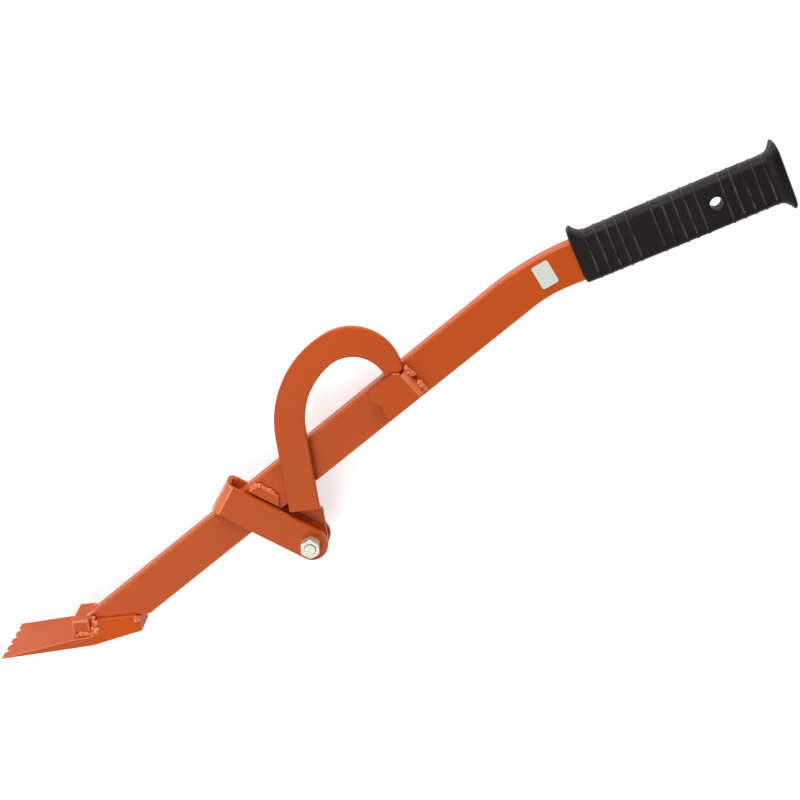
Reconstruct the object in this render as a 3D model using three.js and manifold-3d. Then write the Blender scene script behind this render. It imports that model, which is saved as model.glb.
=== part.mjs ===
import * as THREE from 'three';
import { mergeVertices } from 'three/addons/utils/BufferGeometryUtils.js';
import Module from 'manifold-3d';

const wasm = await Module();
wasm.setup();

// Felling lever lying on its side, in millimetres. Until the last step the origin is the pivot
// bolt's place along the bar, on the bar's lower edge and in its middle plane. +X runs along the
// bar to the grip, +Y across it to its upper edge and +Z out of its near face, where the hook is.

const degree = Math.PI / 180;
const seatGap = 0.3;          // between pieces that touch on the real lever
const cutOver = 2;            // how far a cutter runs past what it cuts
const curveStep = 5 * degree; // of the points along a traced arc

// Lever bar: flat steel, straight from the foot, bent once, then on as the tang in the grip.
const barHeight = 35;
const barThick = 14;
const barEdge = 1.2;          // broken edges
const barReach = 163;         // from the bolt to the bar's lower corner at the foot
const bendAngle = 17.6 * degree;
const bendRadius = 130;       // to the middle line, for the inner edge
const bendOuterRadius = 270;  // of the outer edge, flattened by the press
const bendVertex = 307;       // from the bolt to where the two middle lines meet
const tangTilt = 0.85 * degree; // of the tang and the grip, back from the bent bar's line
const tangRelief = 14;        // from the tang's end to the grip's end

// Foot: forged wedge, wide at its toothed edge and narrow at the heel, under the bar's cut end.
const footAngle = 33.5 * degree;
const footBend = 84.5;        // from the edge to where the underside turns up
const heelRise = 5.7;         // of the underside, from that bend to the heel's end
const heelHeight = 18;        // from the underside to the bar's seat
const heelOverhang = 7.6;     // of the bar's corner past the heel's end
const heelTopMargin = 2.9;    // of the seat past each face of the bar
const flankRun = 12;          // from the stop block's rear to where the heel's flank is one plane
const barNose = 6.2;          // height of the bar's end face, square to the seat at the stop block
const bladeLength = 66;       // from the edge to the stop block
const bladeThick = 8.5;       // at the stop block
const edgeThick = 1;
const edgeWidth = 65;
const bladeWidth = 50;        // at the stop block
const bendWidth = 45;
const heelWidth = 27;
const toothCount = 5;
const toothDepth = 4.2;
const toothGapShare = 0.46;   // of the pitch between teeth

// Stop block across the foot, ahead of the bar's end.
const stopLength = 15.7;
const stopWidth = 36;
const stopHeight = 14.6;      // above the blade
const stopEdge = 1;

// Shackle: flat strip bent square round the bar, its legs' round ends on the pivot bolt.
const boltDrop = 40.6;        // of the bolt's axis below the bar
const strapAngle = 111 * degree;
const strapWidth = 30;
const strapThick = 4.5;
const strapInside = 17.6;     // between the legs
const strapCorner = 3;        // inner bend radius

// Pivot bolt M10 with its lock nut.
const boltDiameter = 10;
const boltClear = 0.3;        // radial, in the legs and in the hook's eye
const headFlats = 16;
const headHeight = 6.4;
const nutFlats = 16;
const nutHeight = 7.2;
const nutCollarHeight = 2.2;
const nutCollarWall = 1.7;    // the collar past the nylon ring
const nylonWall = 1.1;
const boltProud = 1.6;        // past the nut's collar

// Turning hook: sickle of flat steel that slides over the lug, stepped back to its eye, which is
// midway between the shackle's legs.
const hookThick = 5.8;
const hookRoom = 0.4;         // between the hook's back and the lug
const shankHeading = 57.4 * degree;
const shankWidth = 27;
const shankOffset = 0.4;      // of the shank's middle line past the bolt
const shankStart = 35.5;      // from the bolt to where the sickle's plane begins
const stepRun = 6.5;          // along the shank, of the slope between the two planes
const outerStraight = 69;
const outerBackRadius = 94.9;
const outerBackTurn = 66.8 * degree;
const outerNoseRadius = 43;
const outerNoseTurn = 112 * degree;
const innerStraight = 71.9;
const innerBackRadius = 67.8;
const innerBackTurn = 55.9 * degree;
const innerNoseRadius = 29.9;
const innerNoseTurn = 100 * degree;
const hookPointLength = 12.5;  // past the end of the inner curve
const hookEdge = 0.8;

// Catch: strip bent back along one side and welded to the bar, over the hook's point.
const catchLeft = 134;        // from the bolt
const catchRight = 170;
const catchLow = 4.2;         // from the bar's lower edge
const catchHigh = 36.2;
const catchFold = 4;          // outer radius where the plate turns down into the flange
const flangeHigh = 29.8;      // kept below the hook's point
const catchThick = 3.5;
const catchRoom = 0.5;        // between the hook and the catch
const catchChamfer = 5;
const catchWave = 1.7;        // of the flame-cut edge
const catchWaves = 1.75;      // along that edge
const catchSlopeShare = 0.25; // of the chamfer, for the fall of the top edge

// Stop lug beside the shackle.
const lugLength = 30;
const lugWidth = 9.4;
const lugThick = 3.3;
const lugSpace = 2.4;         // from the shackle's edge
const lugRise = 19.6;         // of its middle above the bar's lower edge
const lugEdge = 0.8;
const lugSlant = 4.8;         // of its lower end
const lugTopSlant = 5;        // of its upper end, along the bar's upper edge
const lugBeadStart = 8;       // from its lower end, along the side next to the grip

// Weld beads.
const footBead = 2.6;
const stopBead = 4;
const endBead = 4;
const lugBead = 3;
const catchBead = 4.6;
const catchBeadLength = 9.6;
const catchBeadDrop = 0.6;    // of the lower bead past the flange's end
const ripplePitch = 2.6;
const rippleShare = 0.13;     // of the bead's leg
const beadBellyShare = 0.62;  // of the leg, for the middle of the bead's face
const beadTipShare = 0.12;    // of the leg, squared, at the bead's ends

// Grip: ribbed rubber sleeve on the tang, with a hanging hole.
const gripStart = 33.5;       // from the bend's vertex
const gripLength = 178.6;
const gripHeight = 42.4;
const gripThick = 20;
const gripSwell = 0.25;
const gripFrontRound = 2.4;   // of the front end's lower and side edges
const collarRise = 7.5;       // of the front collar, on the upper side alone
const collarLength = 17;
const collarLip = 4;          // round of the collar's crest
const buttRise = 8.1;         // of the flared butt, both ways
const buttLength = 15.5;
const buttLip = 2.6;           // round of the butt's end
const buttThickRise = 6;
const ribHeight = 0.75;
const ribWidth = 2.4;
const ribPitch = 9.1;
const ribCount = 5;
const ribStartShares = [0.073, 0.393, 0.719];  // of the grip's length
const hangHole = 11.4;        // diameter
const hangHoleReach = 120;    // from the grip's front end
const hangHoleRise = 0.3;      // of the hole past the grip's middle line
const gripRoundShare = 0.5;   // exponent of the superellipse section

// Blank label on the bar.
const labelLength = 15;
const labelWidth = 21;
const labelThick = 0.4;
const labelCorner = 2;
const labelReach = 4.5;       // of its middle past the bend's vertex
const labelTilt = -9.5 * degree;

// Helpers.
const v2 = (x, y) => new THREE.Vector2(x, y);
const v3 = (x, y, z) => new THREE.Vector3(x, y, z);

function solidOf(geometry) {
  const bare = geometry.clone();
  bare.deleteAttribute('normal');
  bare.deleteAttribute('uv');
  const merged = mergeVertices(bare);
  return new wasm.Manifold(new wasm.Mesh({
    numProp: 3,
    vertProperties: new Float32Array(merged.attributes.position.array),
    triVerts: new Uint32Array(merged.index.array),
  }));
}

function geometryOf(solid) {
  const mesh = solid.getMesh();
  const geometry = new THREE.BufferGeometry();
  geometry.setAttribute('position', new THREE.BufferAttribute(new Float32Array(mesh.vertProperties), 3));
  geometry.setIndex(new THREE.BufferAttribute(new Uint32Array(mesh.triVerts), 1));
  geometry.computeVertexNormals();
  return geometry;
}

const joined = (...geometries) => geometryOf(wasm.Manifold.union(geometries.map(solidOf)));
const cut = (geometry, ...cutters) =>
  geometryOf(solidOf(geometry).subtract(wasm.Manifold.union(cutters.map(solidOf))));

// A flat plate of one outline, from z = 0 up, with its edges broken by the given size.
function plate(shape, thick, edge = 0) {
  const geometry = new THREE.ExtrudeGeometry(shape, {
    depth: thick - 2 * edge,
    bevelEnabled: edge > 0,
    bevelThickness: edge,
    bevelSize: edge,
    bevelOffset: -edge,
    bevelSegments: 1,
    curveSegments: 24,
  });
  return geometry.translate(0, 0, edge);
}

// A closed solid through rings of equal count, capped flat at both ends.
function loft(rings) {
  const count = rings[0].length;
  const points = rings.flat();
  const faces = [];
  for (let ring = 0; ring + 1 < rings.length; ring += 1) {
    for (let side = 0; side < count; side += 1) {
      const next = (side + 1) % count;
      const [a, b] = [ring * count + side, ring * count + next];
      faces.push(a, b, b + count, a, b + count, a + count);
    }
  }
  for (let side = 1; side + 1 < count; side += 1) {
    const last = (rings.length - 1) * count;
    faces.push(0, side + 1, side, last, last + side, last + side + 1);
  }
  const geometry = new THREE.BufferGeometry().setFromPoints(points);
  geometry.setIndex(faces);
  geometry.computeVertexNormals();
  return geometry;
}

// Points of an outline drawn as straight runs and right-hand arcs, each tangent to the last.
function trace(start, heading, moves) {
  const points = [start.clone()];
  let at = start.clone();
  let angle = heading;
  for (const move of moves) {
    if (move.line !== undefined) {
      at = at.clone().add(v2(Math.cos(angle), Math.sin(angle)).multiplyScalar(move.line));
      points.push(at);
    } else {
      const centre = at.clone().add(v2(Math.sin(angle), -Math.cos(angle)).multiplyScalar(move.radius));
      const steps = Math.ceil(move.turn / curveStep);
      for (let step = 1; step <= steps; step += 1) {
        const now = angle - move.turn * step / steps;
        at = centre.clone().add(v2(-Math.sin(now), Math.cos(now)).multiplyScalar(move.radius));
        points.push(at);
      }
      angle -= move.turn;
    }
  }
  return points;
}

function rectangle(x0, y0, x1, y1) {
  return new THREE.Shape([v2(x0, y0), v2(x1, y0), v2(x1, y1), v2(x0, y1)]);
}

function hexagon(flats) {
  const radius = flats / Math.sqrt(3);
  const corners = [...Array(6).keys()].map((side) => side * Math.PI / 3);
  return new THREE.Shape(corners.map((a) => v2(radius * Math.cos(a), radius * Math.sin(a))));
}

const withHole = (shape, x, y, radius) => {
  shape.holes.push(new THREE.Path().absarc(x, y, radius, 0, 2 * Math.PI, true));
  return shape;
};

// A rippled fillet bead in the corner where two faces meet: from start along run, its legs lying
// on the faces that leave the corner along legA and legB.
function bead(start, run, legA, legB, leg) {
  const length = run.length();
  const along = run.clone().normalize();
  const steps = Math.max(4, Math.round(length / ripplePitch) * 4);
  const rings = [];
  for (let step = 0; step <= steps; step += 1) {
    const share = step / steps;
    const end = Math.sqrt(Math.min(1, Math.min(share, 1 - share) * length / leg + beadTipShare));
    const size = leg * end * (1 - rippleShare + rippleShare * Math.cos(2 * Math.PI * share * length / ripplePitch));
    const at = start.clone().addScaledVector(along, length * share)
      .addScaledVector(legA, seatGap).addScaledVector(legB, seatGap);
    const belly = size * beadBellyShare;
    rings.push([
      at.clone(),
      at.clone().addScaledVector(legA, size),
      at.clone().addScaledVector(legA, belly).addScaledVector(legB, belly),
      at.clone().addScaledVector(legB, size),
    ]);
  }
  const turned = along.dot(legA.clone().cross(legB)) > 0;
  return loft(turned ? rings : rings.map((ring) => ring.reverse()));
}

const group = new THREE.Group();
group.name = 'felling_lever';
const finishes = {
  orange: { color: 0xc8501e, roughness: 0.42, metalness: 0.1 },
  zinc: { color: 0xc9ccc6, roughness: 0.35, metalness: 0.9 },
  nylon: { color: 0xe9e8de, roughness: 0.6, metalness: 0 },
  rubber: { color: 0x23211e, roughness: 0.75, metalness: 0 },
  label: { color: 0xe6e9e2, roughness: 0.5, metalness: 0 },
};
function add(name, finish, geometry) {
  const material = new THREE.MeshStandardMaterial(finishes[finish]);
  material.name = finish;
  const mesh = new THREE.Mesh(geometry, material);
  mesh.name = name;
  group.add(mesh);
  return mesh;
}

// Foot.
const footRun = v2(Math.cos(footAngle), -Math.sin(footAngle));
const footUp = v2(Math.sin(footAngle), Math.cos(footAngle));
const stopRear = bladeLength + stopLength;
const seatReach = (barHeight - barNose * footUp.y) / -footRun.y - seatGap * footUp.y / -footRun.y;
const footLength = stopRear + seatGap + seatReach - heelOverhang;
const footTip = v2(-barReach, 0)
  .addScaledVector(footRun, -(footLength + heelOverhang))
  .addScaledVector(footUp, -heelHeight);
const footPoint = (u, v, z = 0) =>
  v3(footTip.x + footRun.x * u + footUp.x * v, footTip.y + footRun.y * u + footUp.y * v, z);
const footTurn = (geometry) => geometry.applyMatrix4(new THREE.Matrix4().makeBasis(
  v3(footRun.x, footRun.y, 0), v3(footUp.x, footUp.y, 0), v3(0, 0, 1),
).setPosition(footTip.x, footTip.y, 0));

// The foot's half width, underside and side height at any distance from the toothed edge.
const ridgeStart = stopRear + seatGap;
const flankEnd = ridgeStart + flankRun;
const seatHalf = barThick / 2 + heelTopMargin;
const { lerp, mapLinear, clamp } = THREE.MathUtils;
const halfAt = (u) => {
  if (u < bladeLength) return mapLinear(u, 0, bladeLength, edgeWidth, bladeWidth) / 2;
  if (u < footBend) return mapLinear(u, bladeLength, footBend, bladeWidth, bendWidth) / 2;
  return mapLinear(u, footBend, footLength, bendWidth, heelWidth) / 2;
};
const lowAt = (u) => heelRise * Math.max(0, u - footBend) / (footLength - footBend);
const stationsBetween = (from, to) =>
  [from, ...[bladeLength, footBend, flankEnd].filter((u) => u > from && u < to).sort((a, b) => a - b), to];
const bladeBody = loft(stationsBetween(0, ridgeStart).map((u) => {
  const [half, low] = [halfAt(u), lowAt(u)];
  const high = lerp(edgeThick, bladeThick, clamp(u / bladeLength, 0, 1));
  return [v3(u, low, half), v3(u, low, -half), v3(u, high, -half), v3(u, high, half)];
}));
// Behind the stop block the blade's square side runs out into one plane, up to the bar's seat.
const heelBody = loft(stationsBetween(ridgeStart, footLength).map((u) => {
  const [half, low] = [halfAt(u), lowAt(u)];
  const square = clamp((flankEnd - u) / flankRun, 0, 1);
  const shoulder = low + bladeThick;
  const flank = lerp(half, seatHalf, bladeThick / (heelHeight - low));
  const side = lerp(flank, half, square);
  return [
    v3(u, low, half), v3(u, low, -half), v3(u, shoulder, -side),
    v3(u, heelHeight, -seatHalf), v3(u, heelHeight, seatHalf), v3(u, shoulder, side),
  ];
}));
const toothPitch = edgeWidth / toothCount;
const notches = [...Array(toothCount - 1).keys()].map((index) => {
  const middle = -edgeWidth / 2 + (index + 1) * toothPitch;
  const half = toothPitch * toothGapShare / 2;
  const notch = plate(new THREE.Shape([
    v2(-half - cutOver, -cutOver), v2(half + cutOver, -cutOver), v2(half, 0), v2(0, toothDepth), v2(-half, 0),
  ]), bladeThick + 2 * cutOver);
  return notch.applyMatrix4(new THREE.Matrix4().makeBasis(v3(0, 0, 1), v3(1, 0, 0), v3(0, 1, 0))
    .setPosition(0, -cutOver, middle));
});
add('foot_blade', 'orange', footTurn(cut(joined(bladeBody, heelBody), ...notches)));

const stopBlock = plate(rectangle(bladeLength, bladeThick + seatGap, stopRear, bladeThick + stopHeight),
  stopWidth, stopEdge).translate(0, 0, -stopWidth / 2);
add('stop_block', 'orange', footTurn(stopBlock));

// Lever bar.
const halfHeight = barHeight / 2;
const bendSetback = bendRadius * Math.tan(bendAngle / 2);
const bendStart = bendVertex - bendSetback;
const neckRun = v2(Math.cos(bendAngle), -Math.sin(bendAngle));
const neckUp = v2(Math.sin(bendAngle), Math.cos(bendAngle));
const neckPoint = (u, v) =>
  v2(bendVertex, halfHeight).addScaledVector(neckRun, u).addScaledVector(neckUp, v);
// The tang and the grip run on from the grip's front, u along them and v across.
const handleAngle = bendAngle - tangTilt;
const handleRun = v2(Math.cos(handleAngle), -Math.sin(handleAngle));
const handleUp = v2(Math.sin(handleAngle), Math.cos(handleAngle));
const handlePoint = (u, v) =>
  neckPoint(gripStart, 0).addScaledVector(handleRun, u).addScaledVector(handleUp, v);
const tangEnd = gripLength - tangRelief;
const holePlace = handlePoint(hangHoleReach, hangHoleRise);

const seatHeight = heelHeight + seatGap;
const cornerReach = (footTip.y + footUp.y * seatHeight) / -footRun.y;
const lowCorner = footPoint(cornerReach, seatHeight);
const innerCorner = footPoint(stopRear + seatGap, seatHeight);
const topReach = (barHeight - innerCorner.y) / footUp.y;
const topCorner = footPoint(stopRear + seatGap, seatHeight + topReach);

const barShape = new THREE.Shape();
barShape.moveTo(lowCorner.x, lowCorner.y);
barShape.lineTo(bendStart, 0);
barShape.absarc(bendStart, halfHeight - bendRadius, bendRadius - halfHeight,
  Math.PI / 2, Math.PI / 2 - bendAngle, true);
const neckLow = handlePoint(0, -halfHeight);
const tangLow = handlePoint(tangEnd, -halfHeight);
const tangHigh = handlePoint(tangEnd, halfHeight);
const outerVertex = bendVertex + halfHeight * Math.tan(bendAngle / 2);
const outerSetback = bendOuterRadius * Math.tan(bendAngle / 2);
const bendExit = v2(outerVertex, barHeight).addScaledVector(neckRun, outerSetback);
for (const corner of [neckLow, tangLow, tangHigh, bendExit]) {
  barShape.lineTo(corner.x, corner.y);
}
barShape.absarc(outerVertex - outerSetback, barHeight - bendOuterRadius, bendOuterRadius,
  Math.PI / 2 - bendAngle, Math.PI / 2, false);
barShape.lineTo(topCorner.x, topCorner.y);
barShape.lineTo(innerCorner.x, innerCorner.y);
withHole(barShape, holePlace.x, holePlace.y, hangHole / 2);
add('lever_bar', 'orange', plate(barShape, barThick, barEdge).translate(0, 0, -barThick / 2));

// Welds of the foot.
const near = v3(0, 0, 1);
const far = v3(0, 0, -1);
const footRun3 = v3(footRun.x, footRun.y, 0);
const footUp3 = v3(footUp.x, footUp.y, 0);
const barFace = barThick / 2;
const seamStart = stopRear + endBead + 2 * seatGap;
const seamLength = footLength - seamStart - footBead;
for (const [side, out] of [['near', near], ['far', far]]) {
  const face = out.z * barFace;
  add(`weld_seam_${side}`, 'orange', bead(footPoint(seamStart, heelHeight, face),
    footRun3.clone().multiplyScalar(seamLength), out, footUp3, footBead));
  add(`weld_bar_end_${side}`, 'orange', bead(footPoint(stopRear, heelHeight + seatGap, face),
    footUp3.clone().multiplyScalar(topReach - 2 * barEdge - stopEdge), out, footRun3, endBead));
  add(`weld_stop_${side}`, 'orange', bead(footPoint(bladeLength + stopEdge, bladeThick, out.z * stopWidth / 2),
    footRun3.clone().multiplyScalar(stopLength - 2 * stopEdge), out, footUp3, stopBead));
}

// Shackle.
const bolt = v2(0, -boltDrop);
const legOut = strapInside / 2 + strapThick;
const legRun = v2(Math.cos(strapAngle), Math.sin(strapAngle));
const legSide = v2(Math.sin(strapAngle), -Math.cos(strapAngle));
const halfStrap = strapWidth / 2;
// The closed end rests on the bar's upper edge, at the strip's corner nearer the foot.
const strapReach = (boltDrop + barHeight + halfStrap * legSide.y) / legRun.y + seatGap;
const strapTurn = (geometry) => geometry.applyMatrix4(new THREE.Matrix4().makeBasis(
  v3(legRun.x, legRun.y, 0), v3(-legSide.x, -legSide.y, 0), v3(0, 0, 1),
).setPosition(bolt.x, bolt.y, 0));

// Section through the legs and the closed end, in the plane of the leg's run and the thickness.
const outerCorner = strapCorner + strapThick;
const strapEnd = strapReach + strapThick;
const uShape = new THREE.Shape();
uShape.moveTo(-halfStrap, -legOut);
uShape.lineTo(strapEnd - outerCorner, -legOut);
uShape.absarc(strapEnd - outerCorner, -legOut + outerCorner, outerCorner, -Math.PI / 2, 0, false);
uShape.absarc(strapEnd - outerCorner, legOut - outerCorner, outerCorner, 0, Math.PI / 2, false);
uShape.lineTo(-halfStrap, legOut);
uShape.lineTo(-halfStrap, strapInside / 2);
uShape.lineTo(strapReach - strapCorner, strapInside / 2);
uShape.absarc(strapReach - strapCorner, strapInside / 2 - strapCorner, strapCorner, Math.PI / 2, 0, true);
uShape.absarc(strapReach - strapCorner, -strapInside / 2 + strapCorner, strapCorner, 0, -Math.PI / 2, true);
uShape.lineTo(-halfStrap, -strapInside / 2);
const uBody = plate(uShape, strapWidth, hookEdge).applyMatrix4(new THREE.Matrix4().makeBasis(
  v3(1, 0, 0), v3(0, 0, 1), v3(0, -1, 0),
).setPosition(0, halfStrap, 0));
// Round ends about the bolt.
const roundEnd = new THREE.Shape();
roundEnd.moveTo(-strapWidth, -strapWidth);
roundEnd.lineTo(0, -strapWidth);
roundEnd.lineTo(0, -halfStrap);
roundEnd.absarc(0, 0, halfStrap, -Math.PI / 2, Math.PI / 2, true);
roundEnd.lineTo(0, strapWidth);
roundEnd.lineTo(-strapWidth, strapWidth);
const endCutter = plate(roundEnd, 2 * (legOut + cutOver)).translate(0, 0, -legOut - cutOver);
const boltHole = plate(new THREE.Shape().absarc(0, 0, boltDiameter / 2 + boltClear, 0, 2 * Math.PI, false),
  2 * (legOut + cutOver)).translate(0, 0, -legOut - cutOver);
add('shackle_strap', 'orange', strapTurn(cut(uBody, endCutter, boltHole)));

// Bolt and lock nut.
const disc = (radius, thick, edge = 0) =>
  plate(new THREE.Shape().absarc(0, 0, radius, 0, 2 * Math.PI, false), thick, edge);
const ring = (outer, inner, thick, edge = 0) =>
  plate(withHole(new THREE.Shape().absarc(0, 0, outer, 0, 2 * Math.PI, false), 0, 0, inner), thick, edge);
const atBolt = (geometry, z) => geometry.translate(bolt.x, bolt.y, z);
const stackLow = legOut + seatGap;
const stackHigh = stackLow + nutHeight + nutCollarHeight + boltProud;
const shankDisc = disc(boltDiameter / 2, stackLow + stackHigh + seatGap, hookEdge);
const headPlate = plate(hexagon(headFlats), headHeight, hookEdge / 2);
add('pivot_bolt', 'zinc', joined(
  atBolt(shankDisc, -stackLow - seatGap), atBolt(headPlate, -stackLow - headHeight)));
const nutBore = boltDiameter / 2 + seatGap;
const nylonOuter = nutBore + nylonWall;
add('lock_nut', 'zinc', joined(
  atBolt(plate(withHole(hexagon(nutFlats), 0, 0, nutBore), nutHeight, hookEdge / 2), stackLow),
  atBolt(ring(nylonOuter + seatGap + nutCollarWall, nylonOuter + seatGap, nutCollarHeight + hookEdge, hookEdge / 2),
    stackLow + nutHeight - hookEdge)));
add('nut_insert', 'nylon', atBolt(ring(nylonOuter, nutBore, nutCollarHeight - seatGap),
  stackLow + nutHeight + seatGap));

// Turning hook.
const shankRun = v2(Math.cos(shankHeading), Math.sin(shankHeading));
const shankSide = v2(Math.sin(shankHeading), -Math.cos(shankHeading));
const shankPoint = (along, side) => bolt.clone()
  .addScaledVector(shankRun, along).addScaledVector(shankSide, shankOffset + side);
const outer = trace(shankPoint(shankStart, -shankWidth / 2), shankHeading, [
  { line: outerStraight }, { radius: outerBackRadius, turn: outerBackTurn },
  { radius: outerNoseRadius, turn: outerNoseTurn },
]);
const innerHeading = shankHeading - innerBackTurn - innerNoseTurn;
const inner = trace(shankPoint(shankStart, shankWidth / 2), shankHeading, [
  { line: innerStraight }, { radius: innerBackRadius, turn: innerBackTurn },
  { radius: innerNoseRadius, turn: innerNoseTurn },
]);
const pointStart = inner[inner.length - 1];
const hookPoint = pointStart.clone()
  .addScaledVector(v2(Math.cos(innerHeading), Math.sin(innerHeading)), hookPointLength);
const sickle = new THREE.Shape([...outer, hookPoint, ...inner.reverse()]);
const hookBack = barFace + seatGap + lugThick + hookRoom;
const eyeBack = -hookThick / 2;
const sicklePlate = plate(sickle, hookThick, hookEdge).translate(0, 0, hookBack);
// The shank's profile along its run: eye plane, slope, and a lap into the sickle's plane.
const stepFoot = shankStart - stepRun;
const stepShape = new THREE.Shape([
  v2(0, eyeBack), v2(stepFoot, eyeBack), v2(shankStart, hookBack), v2(shankStart + stepRun, hookBack),
  v2(shankStart + stepRun, hookBack + hookThick), v2(shankStart - hookEdge, hookBack + hookThick),
  v2(stepFoot - hookEdge, eyeBack + hookThick), v2(0, eyeBack + hookThick),
]);
const stepBody = plate(stepShape, shankWidth, hookEdge).applyMatrix4(new THREE.Matrix4().makeBasis(
  v3(shankRun.x, shankRun.y, 0), v3(0, 0, 1), v3(shankSide.x, shankSide.y, 0),
).setPosition(shankPoint(0, -shankWidth / 2).x, shankPoint(0, -shankWidth / 2).y, 0));
const eyeDisc = atBolt(disc(shankWidth / 2 + shankOffset, hookThick, hookEdge), eyeBack);
const eyeHole = atBolt(disc(boltDiameter / 2 + boltClear, hookThick + 2 * cutOver), eyeBack - cutOver);
add('turning_hook', 'orange', cut(joined(sicklePlate, stepBody, eyeDisc), eyeHole));

// Catch.
const catchInner = hookBack + hookThick + catchRoom;
const catchOuter = catchInner + catchThick;
const waveCount = 8;
const waveEdge = [...Array(waveCount + 1).keys()].map((index) => {
  const share = index / waveCount;
  return v2(catchLeft + catchWave * Math.cos(2 * Math.PI * catchWaves * share),
    lerp(catchHigh, catchLow, share));
});
const foldStart = catchRight - catchFold;
const catchShape = new THREE.Shape([
  ...waveEdge, v2(foldStart, catchLow), v2(foldStart, catchHigh - catchChamfer),
  v2(foldStart - catchChamfer, catchHigh - catchChamfer * catchSlopeShare),
]);
const catchPlate = plate(catchShape, catchThick).translate(0, 0, catchInner);
// The flange's profile, x to the right and y towards the hook's side, runs along the bar's height.
const foldShape = new THREE.Shape();
foldShape.moveTo(foldStart - catchThick, catchInner);
foldShape.lineTo(catchRight - catchThick, catchInner);
foldShape.lineTo(catchRight - catchThick, barFace + seatGap);
foldShape.lineTo(catchRight, barFace + seatGap);
foldShape.lineTo(catchRight, catchOuter - catchFold);
foldShape.absarc(foldStart, catchOuter - catchFold, catchFold, 0, Math.PI / 2, false);
foldShape.lineTo(foldStart - catchThick, catchOuter);
const flange = plate(foldShape, flangeHigh - catchLow).applyMatrix4(new THREE.Matrix4().makeBasis(
  v3(1, 0, 0), v3(0, 0, 1), v3(0, -1, 0),
).setPosition(0, flangeHigh, 0));
add('hook_catch', 'orange', joined(catchPlate, flange));
const right = v3(1, 0, 0);
const upward = v3(0, 1, 0);
const catchCorner = v3(catchRight, 0, barFace);
const catchRun = upward.clone().multiplyScalar(catchBeadLength);
add('weld_catch_upper', 'orange', bead(
  catchCorner.clone().setY(flangeHigh - catchBeadLength), catchRun, right, near, catchBead));
add('weld_catch_lower', 'orange', bead(
  catchCorner.clone().setY(catchLow - catchBeadDrop), catchRun, right, near, catchBead));

// Stop lug.
// Its middle stands the named space off the shackle's edge, at the named height on the bar.
const lugAlong = (boltDrop + lugRise - (halfStrap + lugSpace + lugWidth / 2) * legSide.y) / legRun.y;
const lugMiddle = bolt.clone().addScaledVector(legRun, lugAlong)
  .addScaledVector(legSide, halfStrap + lugSpace + lugWidth / 2);
const lug = plate(new THREE.Shape([
  v2(-lugLength / 2 + lugSlant, -lugWidth / 2), v2(lugLength / 2 - lugTopSlant, -lugWidth / 2),
  v2(lugLength / 2, lugWidth / 2), v2(-lugLength / 2, lugWidth / 2),
]), lugThick, lugEdge);
lug.applyMatrix4(new THREE.Matrix4().makeBasis(
  v3(legRun.x, legRun.y, 0), v3(-legSide.x, -legSide.y, 0), v3(0, 0, 1),
).setPosition(lugMiddle.x, lugMiddle.y, barFace + seatGap));
add('stop_lug', 'orange', lug);
const legRun3 = v3(legRun.x, legRun.y, 0);
const legSide3 = v3(legSide.x, legSide.y, 0);
const lugPoint = (along, side) => {
  const place = lugMiddle.clone().addScaledVector(legRun, along).addScaledVector(legSide, side);
  return v3(place.x, place.y, barFace);
};
const lugTop = legRun3.clone().multiplyScalar(-lugTopSlant).addScaledVector(legSide3, lugWidth);
const lugTopOut = legRun3.clone().multiplyScalar(lugWidth).addScaledVector(legSide3, lugTopSlant).normalize();
add('weld_lug_end', 'orange', bead(lugPoint(lugLength / 2, -lugWidth / 2), lugTop, lugTopOut, near, lugBead));
add('weld_lug_side', 'orange', bead(lugPoint(lugBeadStart - lugLength / 2, lugWidth / 2),
  legRun3.clone().multiplyScalar(lugLength - lugBeadStart - lugTopSlant), legSide3, near, lugBead));

// Grip.
const ribPlaces = ribStartShares.flatMap((share) =>
  [...Array(ribCount).keys()].map((index) => share * gripLength + index * ribPitch));
const stations = new Set([0, gripLength]);
for (let step = 0; step <= 6; step += 1) {
  stations.add(collarLip * step / 6);
  stations.add(collarLip + (collarLength - collarLip) * step / 6);
  stations.add(gripLength - buttLip * step / 6);
  stations.add(gripLength - buttLip - (buttLength - buttLip) * step / 6);
}
for (const place of ribPlaces) {
  for (const side of [-1, -0.5, 0, 0.5, 1]) {
    stations.add(place + side * ribWidth / 2);
  }
}
stations.add(hangHoleReach);
// How far an edge of the given round stands back, and how far a flare has risen, both by the
// distance from the grip's end.
const edgeRound = (distance, round) =>
  (distance < round ? round * (1 - Math.sqrt(1 - (1 - distance / round) ** 2)) : 0);
const flare = (distance, length, lip) => clamp((length - distance) / (length - lip), 0, 1) ** 3;
const rib = (u) => Math.max(0, ...ribPlaces.map((place) => {
  const off = Math.abs(u - place) / (ribWidth / 2);
  return off < 1 ? Math.cos(off * Math.PI / 2) : 0;
}));
const gripSides = 32;
const gripRings = [...stations].sort((a, b) => a - b).map((u) => {
  const swell = gripSwell * Math.sin(Math.PI * u / gripLength) + ribHeight * rib(u);
  const butt = flare(gripLength - u, buttLength, buttLip);
  const buttEdge = edgeRound(gripLength - u, buttLip);
  const top = gripHeight / 2 + swell + buttRise * butt - buttEdge
    + collarRise * flare(u, collarLength, collarLip) - edgeRound(u, collarLip);
  const low = gripHeight / 2 + swell + buttRise * butt - buttEdge - edgeRound(u, gripFrontRound);
  const side = gripThick / 2 + swell + buttThickRise * butt - buttEdge - edgeRound(u, gripFrontRound);
  return [...Array(gripSides).keys()].map((index) => {
    const angle = 2 * Math.PI * (index + 0.5) / gripSides;
    const bend = (value) => Math.sign(value) * Math.abs(value) ** gripRoundShare;
    const [v, z] = [bend(Math.sin(angle)), bend(Math.cos(angle))];
    return v3(u, v > 0 ? v * top : v * low, z * side);
  });
});
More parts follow.
